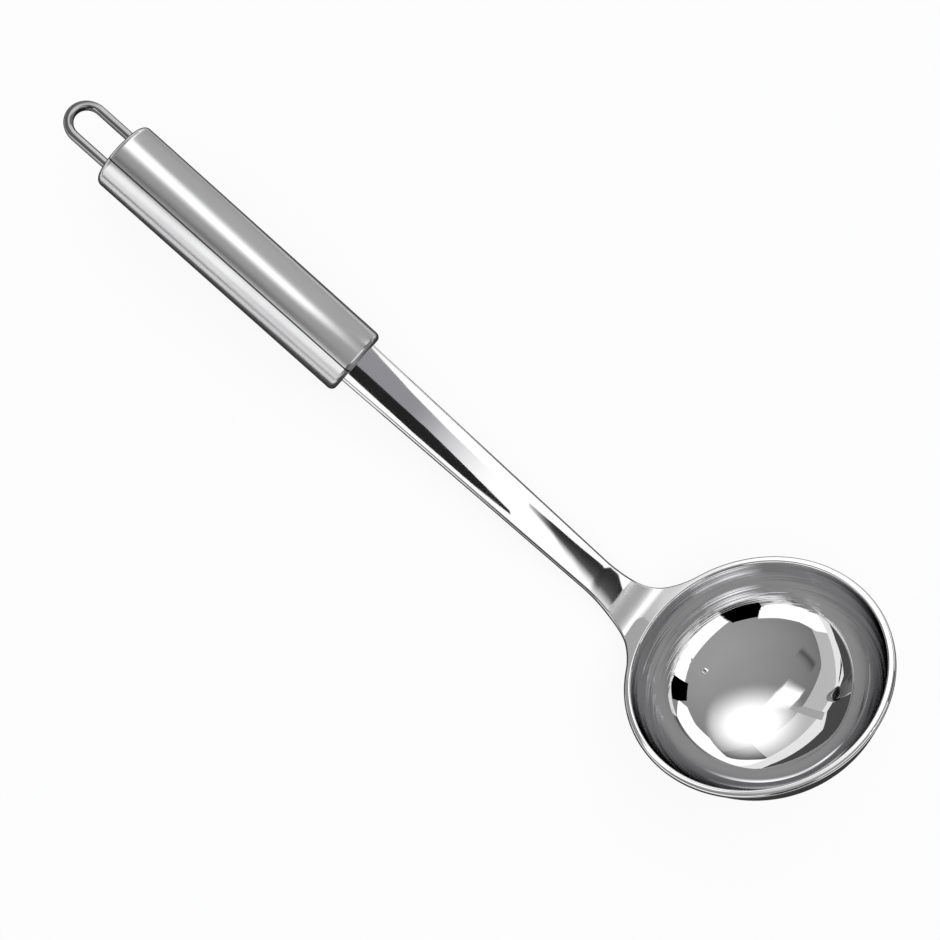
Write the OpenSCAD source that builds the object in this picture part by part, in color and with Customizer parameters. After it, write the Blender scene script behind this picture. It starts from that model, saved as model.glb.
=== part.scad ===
// Soup ladle, all steel: a bowl and shank pressed from one sheet, a round tube handle with
// a plug in each end, and a wire loop to hang it by.
//
// The parts are drawn in the bowl's own frame: the rim's face is the plane z = 0, the bowl's
// axis is Z, and the shank leaves along +X. The whole is then laid on a table, where the
// bowl's side and the lower edge of one end of the tube both touch z = 0.

/* [Bowl] */
// outside diameter of the rim
rim_d = 86; // [70:1:110]
// width of the flat rim seen from above
rim_w = 1.6; // [1.4:0.1:4]
// inside radius of the bowl's shallow bottom
dish_r = 60; // [45:1:90]
// inside radius of the bowl's side
side_r = 30; // [24:0.5:34]
// angle through which the side turns before it meets the rim; 90 would be upright
side_angle = 86; // [78:1:88]
// wall of the drawn bowl
bowl_wall = 1.2; // [0.8:0.1:1.8]
// rounding where the rim turns down into the bowl
mouth_round = 0.8; // [0.3:0.1:1.2]
// rounding of the rim's outer corners
rim_round = 0.5; // [0.2:0.1:0.9]

/* [Shank] */
// thickness of the sheet that the shank and the rim keep
sheet = 2.2; // [1.8:0.1:3]
// angle that the shank and handle rise from the rim's plane
rise_angle = 47.5; // [38:0.5:60]
// from the rim to the corner that the bend rounds off
bend_reach = 7; // [6:0.5:20]
// inside radius of that bend
bend_r = 12; // [4:0.5:13]
// from the bend's corner to the end of the handle tube
shank_length = 122; // [60:1:200]
// width of the shank at its narrowest, where the neck starts
neck_width = 12.6; // [8:0.2:20]
// width of the shank where it enters the handle
shank_width = 16; // [10:0.2:18]
// radius of the two fillets that flare the neck into the rim
neck_fillet = 26.5; // [12:0.5:40]
// length of the tang inside the handle
tang_length = 40; // [15:1:60]

/* [Handle] */
// outside diameter of the tube
tube_d = 24; // [21:0.2:32]
// wall of the tube
tube_wall = 0.9; // [0.6:0.1:1.5]
// length of the tube
tube_length = 101; // [85:1:160]
// outside radius of the rolled-in tube ends
end_roll = 2; // [1.6:0.1:3]
// how far the tube's axis lies below the middle of the sheet
tube_drop = 2; // [0:0.1:2.4]
// thickness of each end plug
plug_t = 1.5; // [1:0.1:3]
// how far each plug sits inside the rolled end
plug_inset = 0.5; // [0.2:0.1:2]
// gap around the tang in its slot
slot_gap = 0.15; // [0.05:0.05:0.3]

/* [Hanging loop] */
// thickness of the wire
wire_d = 3.2; // [2:0.1:4]
// outside width of the loop
loop_width = 15.3; // [12:0.1:18]
// how far the loop stands out of the tube
loop_reach = 21.5; // [14:0.5:40]
// length of each wire leg inside the tube
leg_length = 25; // [8:1:40]
// gap around each wire leg in the rear plug
wire_gap = 0.1; // [0.05:0.05:0.2]

/* [Hidden] */
$fn = 96;
steel = [0.80, 0.80, 0.82];
satin = [0.68, 0.68, 0.70];
dark_steel = [0.42, 0.42, 0.44];

// bowl: the bottom's arc is centred on the axis, and the side's arc is tangent to it
rim_r = rim_d / 2;
mouth_r = rim_r - rim_w - mouth_round;
dish_angle = asin((mouth_r - side_r * sin(side_angle)) / (dish_r - side_r));
side_x = (dish_r - side_r) * sin(dish_angle);
side_z = side_r * cos(side_angle);
dish_z = side_z + (dish_r - side_r) * cos(dish_angle);
bowl_depth = dish_r - dish_z;
side_outer_r = side_r + bowl_wall;
// centre of the rounding that is tangent to the rim's face and to the side
round_x = side_x + sqrt(pow(side_r + mouth_round, 2) - pow(side_z + mouth_round, 2));

// neck: two circles tangent to the rim and to the sides of the shank
neck_half = neck_width / 2;
fillet_y = neck_half + neck_fillet;
fillet_x = sqrt(pow(rim_r + neck_fillet, 2) - pow(fillet_y, 2));
touch = rim_r / (rim_r + neck_fillet);

// bend: where it starts on the sheet's top face, and the corner that it rounds off
bend_outer_r = bend_r + sheet;
bend_run = bend_r * tan(rise_angle / 2);
bend_x = rim_r + bend_reach - bend_run;
corner_x = rim_r + bend_reach;
shank_half = shank_width / 2;
shank_end_x = corner_x + shank_length * cos(rise_angle);
strip_length = shank_length - bend_run + tang_length;
// overlap of neighbouring stretches of the sheet, so that they join into one
seam_lap = 0.1;

// tube: its bore, the gap that the rolled lip leaves, and the wire's centre lines
bore_r = tube_d / 2 - tube_wall;
lip_r = tube_d / 2 - end_roll;
plug_z = end_roll + plug_inset;
leg_y = (loop_width - wire_d) / 2;
arc_z = loop_reach - wire_d / 2 - leg_y;

// far end of the tube's axis
axis_drop = sheet / 2 + tube_drop;
far_x = corner_x + (shank_length + tube_length) * cos(rise_angle) + axis_drop * sin(rise_angle);
far_z = (shank_length + tube_length) * sin(rise_angle) - axis_drop * cos(rise_angle);

// lying on a table: underneath, the side of the bowl or the outside of the bend touches it, and
// so does the lower side of the tube's near or far end. Each is a circle in the middle plane.
function roll_x(back) = far_x - back * cos(rise_angle) + lip_r * sin(rise_angle);
function roll_z(back) = far_z - back * sin(rise_angle) - lip_r * cos(rise_angle);
function slope_from(x, z, r, back) = atan2(roll_z(back) - z, roll_x(back) - x)
    + asin((r - end_roll) / norm([roll_x(back) - x, roll_z(back) - z]));
function slope_to(back) = max(slope_from(side_x, side_z, side_outer_r, back),
                              slope_from(bend_x, bend_r, bend_outer_r, back));
far_slope = slope_to(end_roll);
near_slope = slope_to(tube_length - end_roll);
lie_angle = min(far_slope, near_slope);
touching = near_slope < far_slope ? tube_length - end_roll : end_roll;
lift = end_roll + roll_x(touching) * sin(lie_angle) - roll_z(touching) * cos(lie_angle);

// the loop's tip and the bowl's far side, in the lying frame, give the middle of the length
tip_x = far_x * cos(lie_angle) + far_z * sin(lie_angle)
    + (arc_z + leg_y) * cos(rise_angle - lie_angle) + wire_d / 2;
side_back_x = side_z * sin(lie_angle) - side_x * cos(lie_angle) - side_outer_r;
rim_back_x = (rim_round - rim_r) * cos(lie_angle)
    + (rim_round - sheet) * sin(lie_angle) - rim_round;
mid_x = (tip_x + min(side_back_x, rim_back_x)) / 2;

// from the bowl's frame to the table's frame
module lying() {
    translate([-mid_x, 0, lift]) rotate([0, lie_angle, 0]) children();
}

// from the tube's frame (Z along its axis, Z = 0 at the end by the shank) to the bowl's frame
module on_handle() {
    translate([corner_x + shank_length * cos(rise_angle) + axis_drop * sin(rise_angle), 0,
               shank_length * sin(rise_angle) - axis_drop * cos(rise_angle)])
        rotate([0, 90 - rise_angle, 0]) children();
}

// half section of the bowl's inside, or of its outside when grown by the wall
module bowl_profile(grow) {
    translate([side_x, side_z]) circle(r = side_r + grow);
    intersection() {
        translate([0, dish_z]) circle(r = dish_r + grow);
        polygon([
            [0, dish_z],
            [0, -2 * dish_r],
            [(2 * dish_r + dish_z) * tan(dish_angle), -2 * dish_r]
        ]);
    }
}

// half section of the bowl: wall, flat rim, rounded inner and outer corners
module bowl_section() {
    difference() {
        union() {
            intersection() {
                bowl_profile(bowl_wall);
                translate([0, -dish_r]) square([rim_r, dish_r - mouth_round]);
            }
            translate([round_x, -sheet]) square([rim_r - rim_round - round_x, sheet]);
            translate([round_x, rim_round - sheet]) square([rim_r - round_x, sheet - 2 * rim_round]);
            translate([rim_r - rim_round, -rim_round]) circle(r = rim_round);
            translate([rim_r - rim_round, rim_round - sheet]) circle(r = rim_round);
            translate([round_x, -mouth_round]) circle(r = mouth_round);
        }
        bowl_profile(0);
    }
}

// outline of the shank and neck seen along the bowl's axis
module neck_plan() {
    difference() {
        polygon([
            [touch * fillet_x, touch * fillet_y],
            [fillet_x, fillet_y],
            [fillet_x, neck_half],
            [shank_end_x, shank_half],
            [shank_end_x + tang_length, shank_half],
            [shank_end_x + tang_length, -shank_half],
            [shank_end_x, -shank_half],
            [fillet_x, -neck_half],
            [fillet_x, -fillet_y],
            [touch * fillet_x, -touch * fillet_y]
        ]);
        translate([fillet_x, fillet_y]) circle(r = neck_fillet);
        translate([fillet_x, -fillet_y]) circle(r = neck_fillet);
        circle(r = round_x);
    }
}

// side views of the sheet: flat at the rim, the bend, and straight up into the handle
module flat_side() {
    translate([0, -sheet]) square([bend_x + seam_lap, sheet]);
}

module bend_side() {
    translate([bend_x, bend_r]) intersection() {
        difference() {
            circle(r = bend_outer_r);
            circle(r = bend_r);
        }
        polygon([
            [0, 0],
            [0, -2 * bend_outer_r],
            [2 * bend_outer_r * tan(rise_angle / 2), -2 * bend_outer_r],
            [2 * bend_outer_r * sin(rise_angle), -2 * bend_outer_r * cos(rise_angle)]
        ]);
    }
}

module straight_side() {
    translate([corner_x, 0]) rotate(rise_angle) translate([bend_run - seam_lap, -sheet])
        square([strip_length + seam_lap, sheet]);
}

// a stretch of the sheet, cut to the outline of the shank and neck
module cut_sheet() {
    intersection() {
        rotate([90, 0, 0]) linear_extrude(2 * rim_r, center = true) children();
        translate([0, 0, -2 * sheet]) linear_extrude(far_z + dish_r) neck_plan();
    }
}

module bowl_and_shank() {
    color(steel) lying() union() {
        rotate_extrude() intersection() {
            bowl_section();
            translate([0, -dish_r]) square([rim_r, dish_r]);
        }
        cut_sheet() flat_side();
        cut_sheet() bend_side();
        cut_sheet() straight_side();
    }
}

// half section of the tube with its wall rolled in at both ends
module tube_section() {
    translate([bore_r, end_roll]) square([tube_wall, tube_length - 2 * end_roll]);
    for (end = [0, 1]) translate([lip_r, end_roll + end * (tube_length - 2 * end_roll)])
        intersection() {
            difference() {
                circle(r = end_roll);
                circle(r = end_roll - tube_wall);
            }
            translate([0, (end - 1) * end_roll]) square(end_roll);
        }
}

module handle_tube() {
    color(satin) lying() on_handle() rotate_extrude() tube_section();
}

module front_plug() {
    color(dark_steel) lying() on_handle() translate([0, 0, plug_z]) difference() {
        cylinder(r = bore_r, h = plug_t);
        translate([-tube_drop - sheet / 2 - slot_gap, -shank_half - slot_gap, -1])
            cube([sheet + 2 * slot_gap, shank_width + 2 * slot_gap, plug_t + 2]);
    }
}

module rear_plug() {
    color(dark_steel) lying() on_handle() translate([0, 0, tube_length - plug_z - plug_t])
        difference() {
            cylinder(r = bore_r, h = plug_t);
            for (side = [-1, 1]) translate([0, side * leg_y, -1])
                cylinder(d = wire_d + 2 * wire_gap, h = plug_t + 2);
        }
}

module hanging_loop() {
    color(steel) lying() on_handle() translate([0, 0, tube_length]) {
        for (side = [-1, 1]) translate([0, side * leg_y, -leg_length])
            cylinder(d = wire_d, h = leg_length + arc_z);
        translate([0, 0, arc_z]) intersection() {
            rotate([0, 90, 0]) rotate_extrude() translate([leg_y, 0]) circle(d = wire_d);
            translate([-wire_d, -loop_width, 0]) cube([2 * wire_d, 2 * loop_width, loop_width]);
        }
    }
}

bowl_and_shank();
handle_tube();
front_plug();
rear_plug();
hanging_loop();
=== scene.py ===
# Steel soup ladle lying on a white table: a polished bowl and shank in one pressing, a satin
# tube for a handle with a plug in each end, and a wire loop to hang it by.
import math

import bpy
import bmesh
from mathutils import Matrix, Vector


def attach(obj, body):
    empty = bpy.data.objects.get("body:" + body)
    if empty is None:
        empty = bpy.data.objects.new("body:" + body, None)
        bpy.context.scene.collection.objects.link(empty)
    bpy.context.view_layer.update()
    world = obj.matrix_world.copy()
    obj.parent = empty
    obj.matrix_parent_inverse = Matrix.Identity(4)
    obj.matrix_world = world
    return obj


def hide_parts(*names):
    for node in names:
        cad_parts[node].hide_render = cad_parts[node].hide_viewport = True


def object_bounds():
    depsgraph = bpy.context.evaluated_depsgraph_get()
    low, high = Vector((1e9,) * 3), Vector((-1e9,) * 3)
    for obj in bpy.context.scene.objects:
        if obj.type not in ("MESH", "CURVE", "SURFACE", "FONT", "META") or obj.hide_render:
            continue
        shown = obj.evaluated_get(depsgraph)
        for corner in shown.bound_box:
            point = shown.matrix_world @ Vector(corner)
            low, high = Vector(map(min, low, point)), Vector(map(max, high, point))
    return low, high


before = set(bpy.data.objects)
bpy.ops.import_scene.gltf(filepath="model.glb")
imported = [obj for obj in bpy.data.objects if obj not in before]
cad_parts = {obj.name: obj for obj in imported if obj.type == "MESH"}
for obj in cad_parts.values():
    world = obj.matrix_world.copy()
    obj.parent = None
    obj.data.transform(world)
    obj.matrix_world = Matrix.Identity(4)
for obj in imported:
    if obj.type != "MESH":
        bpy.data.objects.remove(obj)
cadLow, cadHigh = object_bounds()
mm = 0.001

# sizes that several pieces share, in millimetres and degrees; each piece's own are beside its code
shared = {"rise": 47.5, "cornerX": 50.0, "gripStart": 122.0, "gripDrop": 3.1}
rise = math.radians(shared["rise"])
shading = {"sharpAngle": 40, "flatWeight": 60}   # where edges stay crisp, and how firmly flats stay flat
tiny = {"merge": 0.002, "level": 1e-4, "cut": 1e-5, "margin": 0.01, "tilt": 0.001}   # tolerances


# small tools for drawing and turning shapes
def vertsOf(geom):
    return [v for v in geom if isinstance(v, bmesh.types.BMVert)]


def facesOf(geom):
    return [f for f in geom if isinstance(f, bmesh.types.BMFace)]


def everything(bm):
    return bm.verts[:] + bm.edges[:] + bm.faces[:]


def turn(bm, geom, centre, axis, degrees, steps):
    made = bmesh.ops.spin(bm, geom=geom, cent=centre, axis=axis, angle=math.radians(degrees), steps=steps)
    return made["geom_last"]


def turnVert(bm, vert, centre, degrees, steps, axis=(0, 1, 0)):  # draws an arc, returns its end
    return vertsOf(turn(bm, [vert], centre, axis, degrees, steps))[0]


def lineTo(bm, vert, point):  # draws one edge from a vertex to a point
    end = bm.verts.new(point)
    bm.edges.new((vert, end))
    return end


def revolve(bm, geom, steps):  # a full turn about Z
    bmesh.ops.spin(bm, geom=geom, cent=(0, 0, 0), axis=(0, 0, 1), angle=math.tau, steps=steps,
                   use_merge=True)


def pull(bm, faces, by):  # extrudes faces and returns the moved ones
    made = bmesh.ops.extrude_face_region(bm, geom=faces)["geom"]
    bmesh.ops.translate(bm, vec=by, verts=vertsOf(made))
    return facesOf(made)


def cut(bm, geom, place, normal):
    bmesh.ops.bisect_plane(bm, geom=geom, dist=tiny["cut"], plane_co=place, plane_no=normal)


def newObject(name, bm):
    mesh = bpy.data.meshes.new(name)
    bm.to_mesh(mesh)
    bm.free()
    made = bpy.data.objects.new(name, mesh)
    bpy.context.scene.collection.objects.link(made)
    return made


def finishPiece(bm, name, placing, replacedNode):
    bmesh.ops.remove_doubles(bm, verts=bm.verts, dist=tiny["merge"])
    bmesh.ops.recalc_face_normals(bm, faces=bm.faces)
    bmesh.ops.transform(bm, matrix=placing, verts=bm.verts)
    piece = newObject(name, bm)
    mesh = piece.data
    mesh.polygons.foreach_set("use_smooth", [True] * len(mesh.polygons))
    mesh.set_sharp_from_angle(angle=math.radians(shading["sharpAngle"]))
    steady = piece.modifiers.new("flat faces stay flat", "WEIGHTED_NORMAL")
    steady.mode = "FACE_AREA"
    steady.weight = shading["flatWeight"]
    steady.keep_sharp = True
    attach(piece, "root")
    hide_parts(replacedNode)
    print("made", name, "with", len(mesh.polygons), "faces")
    return piece


# bowl and shank, one pressing: the rim's face is z = 0, the bowl's axis is Z, the shank leaves along +X
ladle = {
    "sheet": 2.2,
    "rim": 43.0,            # outer radius
    "rimWidth": 1.6,
    "mouthRound": 0.8,      # where the rim turns down into the bowl
    "edgeRound": 0.85,      # the sheet's edges
    "dishRadius": 60.0,     # the shallow bottom
    "sideRadius": 30.0,
    "sideAngle": 86.0,      # how steep the side is where it meets the rim's plane
    "wall": 1.2,
    "neckHalf": 6.3,        # half the shank's width at the neck
    "gripHalf": 8.0,        # and where it enters the tube
    "neckFillet": 26.5,
    "bendRadius": 12.0,
    "tang": 40.0,           # the hidden end inside the tube
    "slack": {"rim": 0.02, "wall": 0.005},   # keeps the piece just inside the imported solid
    "shoulder": {                            # the softened top edges of the shank
        "width": 2.1,                        # from the edge inwards
        "drop": 0.26,                        # at the edge
        "reach": 1.0,                        # how deep into the sheet they go
        "fade": 9.0,                         # the length over which they grow after the bend
        "lines": (1.15, 1.45, 1.75, 2.1),    # cuts along the shank, by distance from its edge
        "crossCuts": (0.25, 0.5, 0.75, 1),   # cuts across it, as shares of the fade
    },
    "steps": {"around": 192, "rim": 162, "fillet": 20, "edge": 6, "mouth": 6, "side": 37, "dish": 24,
              "bend": 20},
}

# the bowl's section: the bottom's arc is centred on the axis, the side's arc is tangent to it, and
# the flat rim starts to turn down at mouthX
inward = ladle["dishRadius"] - ladle["sideRadius"]
mouth = ladle["rim"] - ladle["rimWidth"] - ladle["mouthRound"]
sideReach = ladle["sideRadius"] * math.sin(math.radians(ladle["sideAngle"]))
dishAngle = math.asin((mouth - sideReach) / inward)
sideX = inward * math.sin(dishAngle)
sideZ = ladle["sideRadius"] * math.cos(math.radians(ladle["sideAngle"]))
dishZ = sideZ + inward * math.cos(dishAngle)
roundReach = ladle["sideRadius"] + ladle["mouthRound"]
mouthX = sideX + math.sqrt(roundReach ** 2 - (sideZ + ladle["mouthRound"]) ** 2)

# the neck's two fillets are tangent to the rim and to the sides of the shank
filletY = ladle["neckHalf"] + ladle["neckFillet"]
filletX = math.sqrt((ladle["rim"] + ladle["neckFillet"]) ** 2 - filletY ** 2)
touch = math.degrees(math.atan2(filletY, filletX))

# along the flat sheet: the bend starts and ends, the shank enters the tube, the tang ends
bendX = shared["cornerX"] - ladle["bendRadius"] * math.tan(rise / 2)
straightX = bendX + ladle["bendRadius"] * math.sin(rise)
gripX = shared["cornerX"] + shared["gripStart"] * math.cos(rise)
tangX = gripX + ladle["tang"] * math.cos(rise)


def ladleOutline(bm):  # round the rim, along the fillets and down both sides of the shank
    steps = ladle["steps"]
    rim = ladle["rim"] - ladle["slack"]["rim"]
    leaves = math.radians(touch)
    first = bm.verts.new((rim * math.cos(leaves), rim * math.sin(leaves), 0))
    last = turnVert(bm, first, (0, 0, 0), 360 - 2 * touch, steps["rim"], axis=(0, 0, 1))
    ends = []
    for vert, side in ((first, 1), (last, -1)):
        centre = (filletX, side * filletY, 0)
        vert = turnVert(bm, vert, centre, side * (90 - touch), steps["fillet"], axis=(0, 0, 1))
        vert = lineTo(bm, vert, (gripX, side * ladle["gripHalf"], 0))
        ends.append(lineTo(bm, vert, (tangX, side * ladle["gripHalf"], 0)))
    bm.edges.new(ends)


def flatEdges(bm, z):
    return [e for e in bm.edges if all(abs(v.co.z - z) < tiny["level"] for v in e.verts)]


def cutShoulders(bm):  # lines along and across the top of the shank
    shoulder = ladle["shoulder"]
    lean = math.atan2(ladle["gripHalf"] - ladle["neckHalf"], gripX - filletX)
    cuts = [((straightX + shoulder["fade"] * share, 0, 0), (1, 0, 0)) for share in shoulder["crossCuts"]]
    for inside in shoulder["lines"]:
        for side in (1, -1):
            place = (filletX, side * (ladle["neckHalf"] - inside), 0)
            cuts.append((place, (-math.sin(lean), side * math.cos(lean), 0)))
    for place, normal in cuts:
        top = [f for f in bm.faces
               if f.normal.z > 1 - tiny["tilt"] and f.calc_center_median().z > -tiny["margin"]
               and min(v.co.x for v in f.verts) > straightX - tiny["margin"]]
        parts = set(top) | {e for f in top for e in f.edges} | {v for f in top for v in f.verts}
        cut(bm, list(parts), place, normal)


def drawDown(bm, vert, tilt):  # down the side and along the bottom to the axis
    bottom = math.degrees(dishAngle)
    vert = turnVert(bm, vert, (sideX, 0, sideZ), 90 - bottom - tilt, ladle["steps"]["side"])
    turnVert(bm, vert, (0, 0, dishZ), bottom, ladle["steps"]["dish"])


def drawBowl(bm):  # the inner and outer skins, spun from half sections
    before = set(bm.verts)
    roundCentre = Vector((mouthX, 0, -ladle["mouthRound"]))
    fromSide = roundCentre - Vector((sideX, 0, sideZ))
    tilt = math.degrees(math.atan2(-fromSide.z, fromSide.x))
    inner = bm.verts.new((mouthX, 0, 0))
    drawDown(bm, turnVert(bm, inner, roundCentre, tilt - 90, ladle["steps"]["mouth"]), tilt)
    outerRadius = ladle["sideRadius"] + ladle["wall"] - ladle["slack"]["wall"]
    outerTilt = math.asin((ladle["sheet"] + sideZ) / outerRadius)
    outer = bm.verts.new((sideX + outerRadius * math.cos(outerTilt), 0, -ladle["sheet"]))
    drawDown(bm, outer, math.degrees(outerTilt))
    chain = [v for v in bm.verts if v not in before]
    revolve(bm, chain + list({e for v in chain for e in v.link_edges}), ladle["steps"]["around"])
    bmesh.ops.remove_doubles(bm, verts=bm.verts, dist=tiny["merge"])


def sideLine(x):  # half the width of the tapered shank, its side lines carried on into the neck
    share = min((x - filletX) / (gripX - filletX), 1)
    return ladle["neckHalf"] + share * (ladle["gripHalf"] - ladle["neckHalf"])


def bendShank(bm):  # lifts what lies past the bend, and lowers the top edges of the shank a little
    shoulder, radius = ladle["shoulder"], ladle["bendRadius"]
    for v in bm.verts:
        if v.co.x <= bendX:
            continue
        x, depth = v.co.x, -v.co.z
        if depth < shoulder["reach"]:
            into = max(0, min(1 - (sideLine(x) - abs(v.co.y)) / shoulder["width"], 1))
            grow = max(0, min((x - straightX) / shoulder["fade"], 1))
            depth += shoulder["drop"] * grow ** 2 * into ** 2 * (1 - depth / shoulder["reach"])
        lean = math.asin(min((x - bendX) / radius, math.sin(rise)))
        if x < straightX:
            top = radius * (1 - math.cos(lean))
        else:
            top = (x - shared["cornerX"]) * math.tan(rise)
        v.co = Vector((x + depth * math.sin(lean), v.co.y, top - depth * math.cos(lean)))


def buildLadle():
    bm = bmesh.new()
    ladleOutline(bm)
    bmesh.ops.edgeloop_fill(bm, edges=bm.edges)
    pull(bm, bm.faces[:], (0, 0, -ladle["sheet"]))
    print("blank", len(bm.faces), "faces")
    bmesh.ops.bevel(bm, geom=flatEdges(bm, 0) + flatEdges(bm, -ladle["sheet"]), offset=ladle["edgeRound"],
                    offset_type="OFFSET", segments=ladle["steps"]["edge"], profile=0.5, affect="EDGES",
                    material=-1)
    for row in range(ladle["steps"]["bend"] + 1):
        x = bendX + ladle["bendRadius"] * math.sin(rise * row / ladle["steps"]["bend"])
        cut(bm, everything(bm), (x, 0, 0), (1, 0, 0))
    cutShoulders(bm)
    # the blank's two widest faces are opened for the bowl and closed again round it
    widest = sorted(bm.faces, key=lambda f: f.calc_area())[-2:]
    bmesh.ops.delete(bm, geom=widest, context="FACES_ONLY")
    drawBowl(bm)
    for z in (0, -ladle["sheet"]):
        openEdges = [e for e in flatEdges(bm, z) if e.is_boundary]
        bmesh.ops.triangle_fill(bm, edges=openEdges, use_beauty=True, normal=(0, 0, 1))
    bendShank(bm)
    print("open edges left", sum(len(e.link_faces) != 2 for e in bm.edges))
    return finishPiece(bm, "pressed_bowl_and_shank", toTable, "bowl_and_shank")


# handle tube, drawn with Z along it and z = 0 at the end by the shank
tube = {"radius": 12.0, "wall": 0.9, "length": 101.0, "roll": 2.0, "around": 160, "rollSteps": (10, 8)}


def buildTube():
    bm = bmesh.new()
    lip, bore = tube["radius"] - tube["roll"], tube["radius"] - tube["wall"]
    near, far = tube["roll"], tube["length"] - tube["roll"]
    outside, inside = tube["rollSteps"]
    first = bm.verts.new((lip, 0, 0))
    vert = turnVert(bm, first, (lip, 0, near), -90, outside)
    vert = lineTo(bm, vert, (tube["radius"], 0, far))
    vert = turnVert(bm, vert, (lip, 0, far), -90, outside)
    vert = lineTo(bm, vert, (lip, 0, tube["length"] - tube["wall"]))
    vert = turnVert(bm, vert, (lip, 0, far), 90, inside)
    vert = lineTo(bm, vert, (bore, 0, near))
    vert = turnVert(bm, vert, (lip, 0, near), 90, inside)
    bm.edges.new((vert, first))
    revolve(bm, bm.verts[:] + bm.edges[:], tube["around"])
    return finishPiece(bm, "satin_handle_tube", toGrip, "handle_tube")


# hanging loop, in the tube's frame: a bent wire with its legs run in through the rear plug
loop = {"wire": 3.2, "legY": 6.05, "reach": 21.5, "leg": 25.0, "sides": 24, "rows": 36}


def buildLoop():
    bm = bmesh.new()
    legFrom = tube["length"] - loop["leg"]
    arcFrom = tube["length"] + loop["reach"] - loop["wire"] / 2 - loop["legY"]
    bmesh.ops.create_circle(bm, cap_ends=True, segments=loop["sides"], radius=loop["wire"] / 2)
    bmesh.ops.translate(bm, vec=(0, loop["legY"], legFrom), verts=bm.verts)
    cap = pull(bm, bm.faces[:], (0, 0, arcFrom - legFrom))
    cap = facesOf(turn(bm, cap, (0, 0, arcFrom), (1, 0, 0), 180, loop["rows"]))
    pull(bm, cap, (0, 0, legFrom - arcFrom))
    # the caps that are left inside the wire where the arc meets the legs
    leftInside = [f for f in bm.faces if len(f.verts) > 4 and f.calc_center_median().z > arcFrom - 1]
    bmesh.ops.delete(bm, geom=leftInside, context="FACES_ONLY")
    print("loop open edges", sum(len(e.link_faces) != 2 for e in bm.edges))
    return finishPiece(bm, "hanging_wire_loop", toGrip, "hanging_loop")


def layOnTable():  # the bowl's side and the lower edge of the tube's near end both touch the table
    lip = tube["radius"] - tube["roll"]
    along, below = shared["gripStart"] + tube["roll"], shared["gripDrop"] + lip
    rollX = shared["cornerX"] + along * math.cos(rise) + below * math.sin(rise)
    rollZ = along * math.sin(rise) - below * math.cos(rise)
    apart = Vector((rollX - sideX, rollZ - sideZ))
    outer = ladle["sideRadius"] + ladle["wall"]
    angle = math.atan2(apart.y, apart.x) + math.asin((outer - tube["roll"]) / apart.length)
    lift = tube["roll"] + rollX * math.sin(angle) - rollZ * math.cos(angle)
    laid = Matrix.Rotation(angle, 4, "Y") @ Matrix.Scale(mm, 4)
    return angle, laid, lift * mm


def fromTube():  # from the tube's frame to the bowl's frame
    start, drop = shared["gripStart"], shared["gripDrop"]
    x = shared["cornerX"] + start * math.cos(rise) + drop * math.sin(rise)
    z = start * math.sin(rise) - drop * math.cos(rise)
    return Matrix.Translation((x, 0, z)) @ Matrix.Rotation(math.pi / 2 - rise, 4, "Y")


lieAngle, laid, lift = layOnTable()
arcTop = laid @ fromTube() @ Vector((0, 0, tube["length"] + loop["reach"] - loop["wire"] / 2))
middle = arcTop.x + loop["wire"] / 2 * mm - cadHigh[0]   # the loop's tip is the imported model's far end
toTable = Matrix.Translation((-middle, 0, lift)) @ laid
toGrip = toTable @ fromTube()
print("lies at", round(math.degrees(lieAngle), 3), "degrees")

bowlAndShank = buildLadle()
handleTube = buildTube()
hangingLoop = buildLoop()


# shader tools
def newGroup(name, inputs, outputs):
    tree = bpy.data.node_groups.new(name, "ShaderNodeTree")
    for label, kind, value in inputs:
        socket = tree.interface.new_socket(name=label, in_out="INPUT", socket_type=kind)
        if value is not None:
            socket.default_value = value
    for label, kind in outputs:
        tree.interface.new_socket(name=label, in_out="OUTPUT", socket_type=kind)
    return tree, tree.nodes.new("NodeGroupInput"), tree.nodes.new("NodeGroupOutput")


def newMaterial(name):
    mat = bpy.data.materials.new(name)
    mat.use_nodes = True
    mat.node_tree.nodes.clear()
    return mat, mat.node_tree


def addNode(tree, kind, values=None, **settings):  # a value is a number, a colour or a socket to link
    made = tree.nodes.new(kind)
    for name, value in settings.items():
        setattr(made, name, value)
    for socket, value in (values or {}).items():
        if isinstance(value, bpy.types.NodeSocket):
            tree.links.new(value, made.inputs[socket])
        else:
            made.inputs[socket].default_value = value
    return made


def calculate(tree, operation, *values):
    return addNode(tree, "ShaderNodeMath", dict(enumerate(values)), operation=operation).outputs[0]


def mapRange(tree, value, low, high, toLow=0.0, toHigh=1.0):
    ends = {"Value": value, "From Min": low, "From Max": high, "To Min": toLow, "To Max": toHigh}
    return addNode(tree, "ShaderNodeMapRange", ends).outputs[0]


def noise(tree, where, size, detail, roughness=0.5, bending=0.0, dimensions="3D"):
    values = {"Vector": where, "Scale": size, "Detail": detail, "Roughness": roughness, "Distortion": bending}
    return addNode(tree, "ShaderNodeTexNoise", values, noise_dimensions=dimensions).outputs[0]


def inFrame(tree, where, place, tilt):  # the coordinates in a frame that is moved and tilted about Y
    values = {"Vector": where, "Location": tuple(place), "Rotation": (0, tilt, 0)}
    return addNode(tree, "ShaderNodeMapping", values, vector_type="TEXTURE").outputs[0]


def colourMix(tree, share, first, second):
    return addNode(tree, "ShaderNodeMix", {0: share, 6: first, 7: second}, data_type="RGBA").outputs[2]


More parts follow.
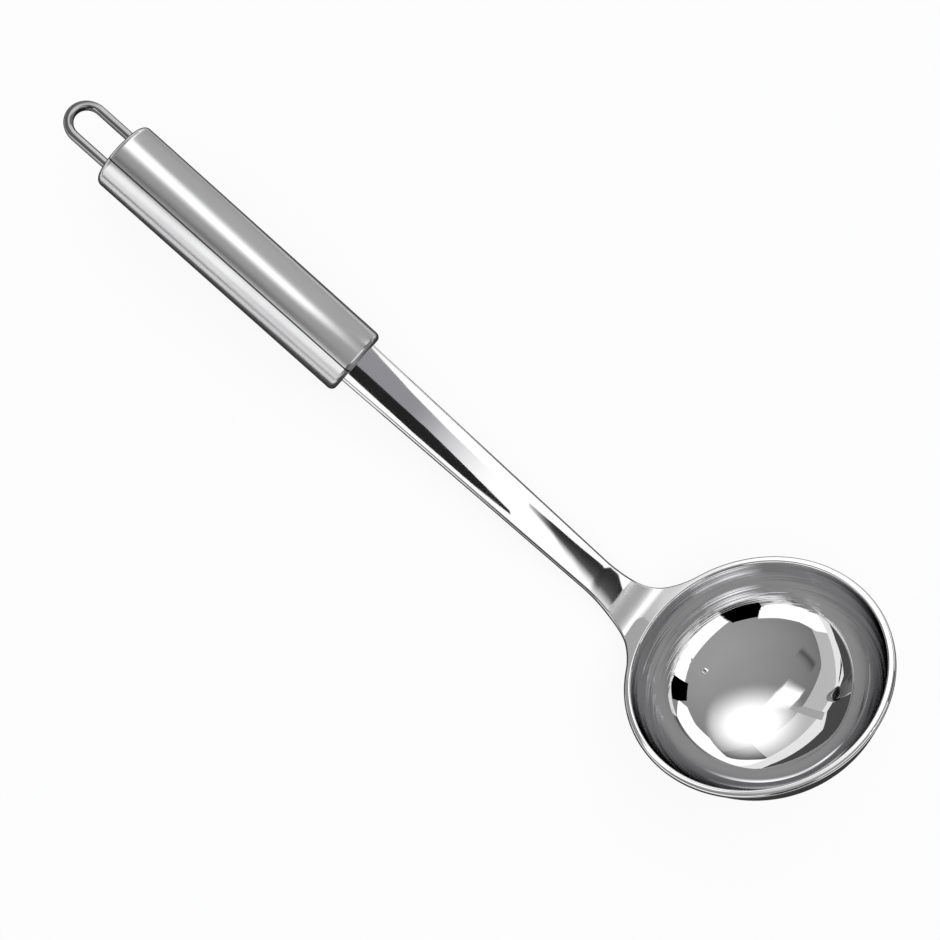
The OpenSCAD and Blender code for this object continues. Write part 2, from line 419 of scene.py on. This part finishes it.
# what the noise patterns are made of: a range is the part of the noise, or the radius, that counts
patterns = {
    "streaks": {"detail": 5.0, "roughness": 0.65, "range": (0.3, 0.7)},
    "smears": {"detail": 6.0, "roughness": 0.6, "bending": 0.6, "range": (0.42, 0.75)},
    "swell": {"size": 22.0, "detail": 1.0},
    "rings": {"detail": 3.0, "roughness": 0.6, "begin": (0.0335, 0.0365), "end": (0.0405, 0.0415)},
}
relief = {"streaks": 0.00002, "swell": 0.001, "rings": 0.0001}   # height of the bumps, in metres


def streaksGroup():  # streaks that run along X of the coordinates that come in
    pattern = patterns["streaks"]
    tree, start, end = newGroup(
        "polishing streaks",
        [("Coordinates", "NodeSocketVector", None), ("Along", "NodeSocketFloat", 30.0),
         ("Across", "NodeSocketFloat", 4000.0)],
        [("Streaks", "NodeSocketFloat")],
    )
    along, across = start.outputs["Along"], start.outputs["Across"]
    stretch = addNode(tree, "ShaderNodeCombineXYZ", {"X": along, "Y": across, "Z": across}).outputs[0]
    spread = addNode(tree, "ShaderNodeVectorMath", {0: start.outputs["Coordinates"], 1: stretch},
                     operation="MULTIPLY").outputs[0]
    streaks = noise(tree, spread, 1.0, pattern["detail"], pattern["roughness"])
    tree.links.new(mapRange(tree, streaks, *pattern["range"]), end.inputs["Streaks"])
    return tree


def smearsGroup():  # faint smears left by handling and drying, and a slow swell of the surface
    pattern, swell = patterns["smears"], patterns["swell"]
    tree, start, end = newGroup(
        "handling smears",
        [("Coordinates", "NodeSocketVector", None), ("Size", "NodeSocketFloat", 40.0)],
        [("Smear", "NodeSocketFloat"), ("Swell", "NodeSocketFloat")],
    )
    where = start.outputs["Coordinates"]
    smears = noise(tree, where, start.outputs["Size"], pattern["detail"], pattern["roughness"],
                   pattern["bending"])
    tree.links.new(mapRange(tree, smears, *pattern["range"]), end.inputs["Smear"])
    tree.links.new(noise(tree, where, swell["size"], swell["detail"]), end.inputs["Swell"])
    return tree


def ringsGroup():  # fine rings left by spinning, round Z, where the radius is that of the side wall
    pattern = patterns["rings"]
    tree, start, end = newGroup(
        "spun rings",
        [("Coordinates", "NodeSocketVector", None), ("Fineness", "NodeSocketFloat", 2500.0)],
        [("Rings", "NodeSocketFloat"), ("Mask", "NodeSocketFloat")],
    )
    parts = addNode(tree, "ShaderNodeSeparateXYZ", {0: start.outputs["Coordinates"]}).outputs
    flat = addNode(tree, "ShaderNodeCombineXYZ", {"X": parts[0], "Y": parts[1]}).outputs[0]
    radius = addNode(tree, "ShaderNodeVectorMath", {0: flat}, operation="LENGTH").outputs["Value"]
    place = addNode(tree, "ShaderNodeCombineXYZ", {"X": radius, "Y": parts[2]}).outputs[0]
    spread = addNode(tree, "ShaderNodeVectorMath", {0: place, "Scale": start.outputs["Fineness"]},
                     operation="SCALE").outputs[0]
    rings = noise(tree, spread, 1.0, pattern["detail"], pattern["roughness"], dimensions="2D")
    begin = mapRange(tree, radius, *pattern["begin"])
    stop = mapRange(tree, radius, *pattern["end"], 1.0, 0.0)
    tree.links.new(rings, end.inputs["Rings"])
    tree.links.new(calculate(tree, "MULTIPLY", begin, stop), end.inputs["Mask"])
    return tree


streakTree, smearTree, ringTree = streaksGroup(), smearsGroup(), ringsGroup()


def seamLine(tree, where, seam):  # 1 on the weld line along the tube, 0 beside it
    inTube = inFrame(tree, where, toGrip.translation, gripTilt)
    parts = addNode(tree, "ShaderNodeSeparateXYZ", {0: inTube}).outputs
    around = calculate(tree, "ARCTAN2", parts[1], parts[2])
    off = calculate(tree, "ABSOLUTE", calculate(tree, "SUBTRACT", around, math.radians(seam["angle"])))
    return mapRange(tree, off, seam["core"], seam["half"], 1.0, 0.0)


def spunWall(tree, where, spun, roughness, normal):  # rings in the bowl, and a duller grain on the bend
    inBowl = inFrame(tree, where, toTable.translation, lieAngle)
    rings = addNode(tree, "ShaderNodeGroup", {"Coordinates": inBowl, "Fineness": spun["fineness"]},
                    node_tree=ringTree).outputs
    roughness = calculate(tree, "MULTIPLY_ADD", rings["Mask"], spun["rough"], roughness)
    height = calculate(tree, "MULTIPLY", rings["Rings"], rings["Mask"])
    bump = addNode(tree, "ShaderNodeBump", {"Height": height, "Strength": spun["strength"],
                                            "Distance": relief["rings"], "Normal": normal})
    along = addNode(tree, "ShaderNodeSeparateXYZ", {0: inBowl}).outputs[0]
    bendFrom = mapRange(tree, along, *spun["bendFrom"])
    bendUntil = mapRange(tree, along, *spun["bendUntil"], 1.0, 0.0)
    onBend = calculate(tree, "MULTIPLY", bendFrom, bendUntil)
    return calculate(tree, "MULTIPLY_ADD", onBend, spun["bendRough"], roughness), bump.outputs[0]


def steel(name, finish):
    mat, tree = newMaterial(name)
    where = addNode(tree, "ShaderNodeTexCoord").outputs["Object"]
    grain = inFrame(tree, where, (0, 0, 0), finish["grainTilt"])
    streaks = addNode(tree, "ShaderNodeGroup",
                      {"Coordinates": grain, "Along": finish["along"], "Across": finish["across"]},
                      node_tree=streakTree).outputs["Streaks"]
    smears = addNode(tree, "ShaderNodeGroup", {"Coordinates": where, "Size": finish["smearSize"]},
                     node_tree=smearTree).outputs
    colour = colourMix(tree, smears["Smear"], finish["colour"] + (1,), finish["smearColour"] + (1,))
    if "seam" in finish:
        line = seamLine(tree, where, finish["seam"])
        colour = colourMix(tree, line, colour, finish["seam"]["colour"] + (1,))
    roughness = calculate(tree, "ADD", mapRange(tree, streaks, 0, 1, *finish["rough"]),
                          mapRange(tree, smears["Smear"], 0, 1, 0, finish["smearRough"]))
    fine = addNode(tree, "ShaderNodeBump", {"Height": streaks, "Strength": finish["grainStrength"],
                                            "Distance": relief["streaks"]})
    swell = addNode(tree, "ShaderNodeBump", {"Height": smears["Swell"], "Strength": finish["swellStrength"],
                                             "Distance": relief["swell"], "Normal": fine.outputs[0]})
    normal = swell.outputs[0]
    if "spun" in finish:
        roughness, normal = spunWall(tree, where, finish["spun"], roughness, normal)
    shader = addNode(tree, "ShaderNodeBsdfPrincipled",
                     {"Base Color": colour, "Metallic": 1.0, "Roughness": roughness, "Normal": normal,
                      "Specular Tint": finish["edgeTint"] + (1,)})
    addNode(tree, "ShaderNodeOutputMaterial", {"Surface": shader.outputs[0]})
    return mat


gripTilt = lieAngle - rise
# noise sizes are per metre, and bendFrom and bendUntil are metres from the bowl's axis
finishes = {
    "mirror polished steel": {
        "colour": (0.80, 0.80, 0.805),
        "smearColour": (0.76, 0.76, 0.77),
        "edgeTint": (0.50, 0.50, 0.51),
        "rough": (0.006, 0.014),
        "smearRough": 0.01,
        "smearSize": 35.0,
        "along": 20.0,
        "across": 2500.0,
        "grainTilt": 0,
        "grainStrength": 0.001,
        "swellStrength": 0.004,
        "spun": {"fineness": 420.0, "rough": 0.03, "strength": 1.6, "bendRough": 0.34,
                 "bendFrom": (0.0455, 0.0490), "bendUntil": (0.0528, 0.0545)},
    },
    "satin tube steel": {
        "colour": (0.74, 0.74, 0.745),
        "smearColour": (0.70, 0.70, 0.71),
        "edgeTint": (0.45, 0.45, 0.46),
        "rough": (0.19, 0.26),
        "smearRough": 0.03,
        "smearSize": 30.0,
        "along": 5.0,
        "across": 6000.0,
        "grainTilt": gripTilt,
        "grainStrength": 0.12,
        "swellStrength": 0.0,
        "seam": {"angle": 35.0, "core": 0.012, "half": 0.030, "colour": (0.03, 0.03, 0.03)},
    },
    # the plugs' steel is dull, and its colour is painted dark as shade in the tube's recessed ends
    "dull plug steel darkened as recess shade": {
        "colour": (0.16, 0.16, 0.165),
        "smearColour": (0.10, 0.10, 0.105),
        "edgeTint": (0.45, 0.45, 0.46),
        "rough": (0.28, 0.42),
        "smearRough": 0.08,
        "smearSize": 120.0,
        "along": 300.0,
        "across": 1500.0,
        "grainTilt": gripTilt,
        "grainStrength": 0.3,
        "swellStrength": 0.0,
    },
    "bright drawn wire": {
        "colour": (0.33, 0.33, 0.335),
        "smearColour": (0.27, 0.27, 0.275),
        "edgeTint": (0.15, 0.15, 0.155),
        "rough": (0.02, 0.04),
        "smearRough": 0.02,
        "smearSize": 90.0,
        "along": 40.0,
        "across": 1500.0,
        "grainTilt": gripTilt,
        "grainStrength": 0.002,
        "swellStrength": 0.0,
    },
}
steels = {name: steel(name, finish) for name, finish in finishes.items()}


def paint(piece, mat):
    piece.data.materials.clear()
    piece.data.materials.append(mat)


paint(bowlAndShank, steels["mirror polished steel"])
paint(handleTube, steels["satin tube steel"])
paint(hangingLoop, steels["bright drawn wire"])
# the plugs keep their imported shape; their near-black colour is painted shade of the recesses
for nodeName in ("front_plug", "rear_plug"):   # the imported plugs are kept
    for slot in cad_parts[nodeName].material_slots:
        slot.material = steels["dull plug steel darkened as recess shade"]
print("painted with", len(steels), "steels")


# studio: white table, grey tent above it, softboxes and dark cards for the steel to mirror
def glowing(name, level, colour=(1, 1, 1)):
    mat, tree = newMaterial(name)
    glow = addNode(tree, "ShaderNodeEmission", {"Color": colour + (1,), "Strength": level})
    addNode(tree, "ShaderNodeOutputMaterial", {"Surface": glow.outputs[0]})
    return mat


def softGlow(name, level, colour=(1, 1, 1)):  # fades out where the glow attribute falls to 0
    mat = glowing(name, level, colour)
    tree = mat.node_tree
    clear = addNode(tree, "ShaderNodeBsdfTransparent")
    fade = addNode(tree, "ShaderNodeAttribute", attribute_name="glow").outputs["Fac"]
    eased = addNode(tree, "ShaderNodeMapRange", {"Value": fade}, interpolation_type="SMOOTHSTEP").outputs[0]
    blend = addNode(tree, "ShaderNodeMixShader",
                    {0: eased, 1: clear.outputs[0], 2: tree.nodes["Emission"].outputs[0]})
    tree.links.new(blend.outputs[0], tree.nodes["Material Output"].inputs["Surface"])
    return mat


def stageMesh(bm, name, mat):  # things that only the steel sees
    made = newObject(name, bm)
    made.data.materials.append(mat)
    made.visible_camera = made.visible_diffuse = made.visible_shadow = False


def seesBackground(tree):  # 1 for camera, mirror and glass rays
    rays = addNode(tree, "ShaderNodeLightPath").outputs
    first = calculate(tree, "MAXIMUM", rays["Is Camera Ray"], rays["Is Glossy Ray"])
    return calculate(tree, "MAXIMUM", first, rays["Is Transmission Ray"])


table = {"half": 2.5, "level": -0.00002, "colour": (0.9, 0.9, 0.9), "ownLight": 0.9}


def tableTop():  # camera and mirror rays see an evenly lit white, the others plain paper
    mat, tree = newMaterial("white table top")
    paper = addNode(tree, "ShaderNodeBsdfDiffuse", {"Color": table["colour"] + (1,)})
    glow = addNode(tree, "ShaderNodeEmission", {"Color": (1, 1, 1, 1), "Strength": 1.0})
    share = calculate(tree, "MULTIPLY", seesBackground(tree), table["ownLight"])
    blend = addNode(tree, "ShaderNodeMixShader", {0: share, 1: paper.outputs[0], 2: glow.outputs[0]})
    addNode(tree, "ShaderNodeOutputMaterial", {"Surface": blend.outputs[0]})
    return mat


def addGrid(bm, low, high, z):  # a flat rectangle between two corners
    made = bmesh.ops.create_grid(bm, x_segments=1, y_segments=1, size=0.5)["verts"]
    bmesh.ops.scale(bm, vec=(high[0] - low[0], high[1] - low[1], 1), verts=made)
    bmesh.ops.translate(bm, vec=((low[0] + high[0]) / 2, (low[1] + high[1]) / 2, z), verts=made)


bm = bmesh.new()
addGrid(bm, (-table["half"], -table["half"]), (table["half"], table["half"]), table["level"])
floor = newObject("white table", bm)
floor.data.materials.append(tableTop())

# the sky is dim for the light that it gives, and bright where the camera or a mirror sees it
sky = {"dim": {"Color": (0.97, 0.98, 1.0, 1), "Strength": 0.95},
       "bright": {"Color": (1, 1, 1, 1), "Strength": 1.0}}
world = bpy.data.worlds.new("studio")
bpy.context.scene.world = world
world.use_nodes = True
tree = world.node_tree
tree.nodes.clear()
dim, bright = (addNode(tree, "ShaderNodeBackground", sky[name]).outputs[0] for name in ("dim", "bright"))
blend = addNode(tree, "ShaderNodeMixShader", {0: seesBackground(tree), 1: dim, 2: bright})
addNode(tree, "ShaderNodeOutputWorld", {"Surface": blend.outputs[0]})

tent = {"radius": 2.2, "from": 0.30, "zenith": 0.40, "edge": 0.20, "around": 48, "up": 24}


def tentCloth():  # darker towards the horizon
    mat = glowing("grey tent cloth", 1.0)
    tree = mat.node_tree
    where = addNode(tree, "ShaderNodeTexCoord").outputs["Object"]
    height = addNode(tree, "ShaderNodeSeparateXYZ", {0: where}).outputs[2]
    level = mapRange(tree, height, tent["from"], tent["radius"], tent["edge"], tent["zenith"])
    tree.links.new(level, tree.nodes["Emission"].inputs["Strength"])
    return mat


bm = bmesh.new()
bmesh.ops.create_uvsphere(bm, u_segments=tent["around"], v_segments=tent["up"], radius=tent["radius"])
bmesh.ops.bisect_plane(bm, geom=everything(bm), plane_co=(0, 0, tent["from"]), plane_no=(0, 0, 1),
                       clear_inner=True)
bmesh.ops.reverse_faces(bm, faces=bm.faces)
stageMesh(bm, "grey tent", tentCloth())

# painted shade: dark sheets just above the table, seen only by the steel, stand for the table's shade under
# the bowl, the shank and the tube: opposite corners of each
shadeSheets = {
    "level": 0.08,
    "z": -0.00001,
    "pieces": (((-0.32, -0.30), (-0.075, 0.30)), ((-0.075, -0.12), (0.02, 0.12)),
               ((0.02, -0.045), (0.26, 0.03))),
}
bm = bmesh.new()
for low, high in shadeSheets["pieces"]:
    addGrid(bm, low, high, shadeSheets["z"])
stageMesh(bm, "painted shade under the ladle", glowing("painted shade under the ladle", shadeSheets["level"]))

bowlMiddle = Vector((-0.12, 0, 0.03))   # the cards are placed round this point


def towards(right, up):  # degrees right (+X) and up (+Y) of straight overhead
    away, bearing = math.radians(math.hypot(right, up)), math.atan2(up, right)
    return Vector((math.sin(away) * math.cos(bearing), math.sin(away) * math.sin(bearing), math.cos(away)))


# each card: its corners as directions from the bowl in degrees, its distance, its level, and how
# softly it ends, in degrees too
cards = {
    "left strip": {
        "corners": ((-32, -38), (-32, 27), (-15, 27), (-16, 0), (-15, -20), (-8, -36)),
        "far": 1.0, "level": 1.3, "soft": 3.5,
    },
    "upper black": {
        "corners": ((-38, 27), (-38, 62), (-9, 58), (2, 45), (-11, 28)),
        "far": 0.98, "level": 0.0, "soft": 0.5,
    },
    "upper strip": {
        "corners": ((-9, 57), (-4, 70), (20, 82), (50, 82), (64, 70), (52, 62), (34, 62), (18, 55), (4, 44)),
        "far": 1.0, "level": 1.3, "soft": 1.5,
    },
    "low strip": {
        "corners": ((-7, -51), (6, -50), (20, -57), (36, -58), (50, -66), (66, -60), (80, -52), (86, -60),
                    (60, -84), (30, -82), (0, -72)),
        "far": 1.0, "level": 1.3, "soft": 3.0,
    },
    "lower black": {
        "corners": ((-26, -38), (-4, -34), (3, -46), (-6, -52), (-22, -58)),
        "far": 0.98, "level": 0.0, "soft": 0.5,
    },
    "shank panel": {
        "corners": ((-20, -15.0), (8, -15.0), (8, -18.9), (-20, -19.2)),
        "far": 0.96, "level": 1.3, "soft": 0.3,
    },
    "shank flag": {
        "corners": ((7, -17.1), (2.6, -17.3), (-0.7, -17.4), (-4.3, -17.2), (-7.9, -16.9), (-8.1, -16.7),
                    (-5.2, -16.5), (-0.7, -16.4), (7, -16.3)),
        "far": 0.93, "level": 0.02, "soft": 0.02,
    },
}
for name, card in cards.items():
    ways = [towards(*corner) for corner in card["corners"]]
    middleWay = sum(ways, Vector()).normalized()
    bm = bmesh.new()
    corners = [bm.verts.new(bowlMiddle + way * card["far"] / way.dot(middleWay)) for way in ways]
    panel = bm.faces.new(corners)
    glow = bm.verts.layers.float.new("glow")
    edge = card["far"] * math.radians(card["soft"])
    bmesh.ops.inset_region(bm, faces=[panel], thickness=edge, use_even_offset=True)
    for v in panel.verts:   # the panel is the inner part now, and its edge strip fades to 0
        v[glow] = 1.0
    stageMesh(bm, name, softGlow(name, card["level"]))


def fadedPanel(name, rows, fades, mat):  # rows of points, and how much of the light each gives
    bm = bmesh.new()
    glow = bm.verts.layers.float.new("glow")
    made = [[bm.verts.new(place) for place in row] for row in rows]
    for row, fadeRow in zip(made, fades):
        for v, fade in zip(row, fadeRow):
            v[glow] = fade
    for low, high in zip(made, made[1:]):
        for i in range(len(low) - 1):
            bm.faces.new((low[i], low[i + 1], high[i + 1], high[i]))
    stageMesh(bm, name, mat)


# strips that fade across: each row is two directions from the bowl and a share of the light, and
# "fade" is what is left of it at the first direction, part of the way and at the second
strips = {
    "lilac strip": {
        "rows": (((8, -18.9), (8, -16.9), 0.75), ((4, -18.6), (4, -17.0), 1.0), ((1, -18.4), (1, -17.1), 1.0),
                 ((-2, -18.3), (-2, -17.1), 0.6), ((-7, -18.2), (-7, -17.0), 0.0)),
        "fade": (1.0, 1.0, 1.0), "far": 0.94, "level": 0.36, "colour": (0.94, 0.94, 1.0),
    },
    "neck flag": {
        "rows": (((-8.4, -18.4), (-8.6, -18.1), 0.5), ((-10.3, -18.45), (-10.8, -17.6), 1.0),
                 ((-12.4, -18.45), (-12.6, -17.0), 1.0), ((-13.9, -18.5), (-14.2, -16.5), 1.0),
                 ((-15.2, -18.45), (-15.8, -16.1), 1.0), ((-16.0, -17.9), (-17.0, -15.9), 1.0),
                 ((-17.6, -16.4), (-17.8, -15.7), 1.0)),
        "fade": (1.0, 0.85, 0.0), "far": 0.93, "level": 0.03, "colour": (1, 1, 1),
    },
}
partWay = 0.55
for name, strip in strips.items():
    rows = []
    for first, second, share in strip["rows"]:
        start, end = (bowlMiddle + towards(*corner) * strip["far"] for corner in (first, second))
        rows.append((start, start.lerp(end, partWay), end))
    fades = [[fade * share for fade in strip["fade"]] for first, second, share in strip["rows"]]
    fadedPanel(name, rows, fades, softGlow(name, strip["level"], strip["colour"]))

# two panels close above the tube, fading out to their edges
overTube = {
    "x": (0.034, 0.056, 0.17, 0.21),
    "alongFade": (0, 1, 1, 0),
    "z": 0.12,
    "panels": {
        "tube softbox": {"y": (-0.075, -0.026, 0.010), "acrossFade": (0.0, 1.0, 0.0), "level": 1.8},
        "tube flag": {"y": (0.040, 0.074, 0.110), "acrossFade": (0.0, 0.7, 0.0), "level": 0.06},
    },
}
for name, panel in overTube["panels"].items():
    rows = [[(x, y, overTube["z"]) for x in overTube["x"]] for y in panel["y"]]
    fades = [[across * along for along in overTube["alongFade"]] for across in panel["acrossFade"]]
    fadedPanel(name, rows, fades, softGlow(name, panel["level"]))

# plain boards near the steel
boards = {
    "board beside the tube": {
        "corners": ((0.036, -0.037, 0.012), (0.145, -0.037, 0.012), (0.145, -0.037, 0.076),
                    (0.036, -0.037, 0.076)),
        "level": 0.46,
    },
    "dark lath by the tube": {
        "corners": ((0.03, 0.054, 0.0002), (0.26, 0.054, 0.0002), (0.26, 0.074, 0.0002),
                    (0.03, 0.074, 0.0002)),
        "level": 0.04,
    },
    "cover over the bowl": {
        "corners": ((-0.139, -0.038, 0.1), (-0.1115, -0.038, 0.1), (-0.1115, -0.006, 0.1),
                    (-0.139, -0.006, 0.1)),
        "level": 0.39,
    },
}
for name, board in boards.items():
    bm = bmesh.new()
    bm.faces.new([bm.verts.new(corner) for corner in board["corners"]])
    stageMesh(bm, name, glowing(name, board["level"]))

# the horizon is dark behind the bowl and on the side away from the camera: bearings in degrees
horizon = {
    "radius": 2.1,
    "height": 0.5,
    "steps": 40,
    "walls": {
        "dark skirt": {"from": 130, "to": 320, "level": 0.10},
        "light skirt": {"from": -40, "to": 130, "level": 0.6},
    },
}
for name, wall in horizon["walls"].items():
    bearing = math.radians(wall["from"])
    bm = bmesh.new()
    foot = bm.verts.new((horizon["radius"] * math.cos(bearing), horizon["radius"] * math.sin(bearing), 0))
    turnVert(bm, foot, (0, 0, 0), wall["to"] - wall["from"], horizon["steps"], axis=(0, 0, 1))
    raised = bmesh.ops.extrude_edge_only(bm, edges=bm.edges[:])["geom"]
    bmesh.ops.translate(bm, vec=(0, 0, horizon["height"]), verts=vertsOf(raised))
    stageMesh(bm, name, glowing(name, wall["level"]))

# one round softbox hangs close by: a blurred spot in the bowl and the broad band along the tube
softbox = {"right": 57, "up": -35, "far": 0.36, "radius": 0.19, "level": 1.9, "sides": 64}
way = towards(softbox["right"], softbox["up"])
facing = way.to_track_quat("Z", "Y").to_matrix().to_4x4()
hung = Matrix.Translation(bowlMiddle + way * softbox["far"]) @ facing
bm = bmesh.new()
bmesh.ops.create_circle(bm, cap_ends=True, cap_tris=True, segments=softbox["sides"], radius=softbox["radius"])
glow = bm.verts.layers.float.new("glow")
for v in bm.verts:   # full at its centre, nothing at its edge
    v[glow] = 1.0 if v.co.length < softbox["radius"] / 2 else 0.0
bmesh.ops.transform(bm, matrix=hung, verts=bm.verts)
stageMesh(bm, "round softbox", softGlow("round softbox", softbox["level"]))
print("studio set with", len(cards) + len(strips) + len(overTube["panels"]) + len(boards), "cards and boards")

# camera, at the photograph's angle
view = {"at": (-0.01065, 0.14888, 0.49761), "turn": (12.755, -10.951, -141.054), "lens": 59.46,
        "sensor": 36, "nearest": 0.01}
cameraData = bpy.data.cameras.new("camera")
cameraData.lens = view["lens"]
cameraData.sensor_width = view["sensor"]
cameraData.clip_start = view["nearest"]
cameraObject = bpy.data.objects.new("camera", cameraData)
bpy.context.scene.collection.objects.link(cameraObject)
cameraObject.location = view["at"]
cameraObject.rotation_euler = tuple(math.radians(a) for a in view["turn"])
bpy.context.scene.camera = cameraObject
bpy.context.scene.view_settings.view_transform = "Standard"
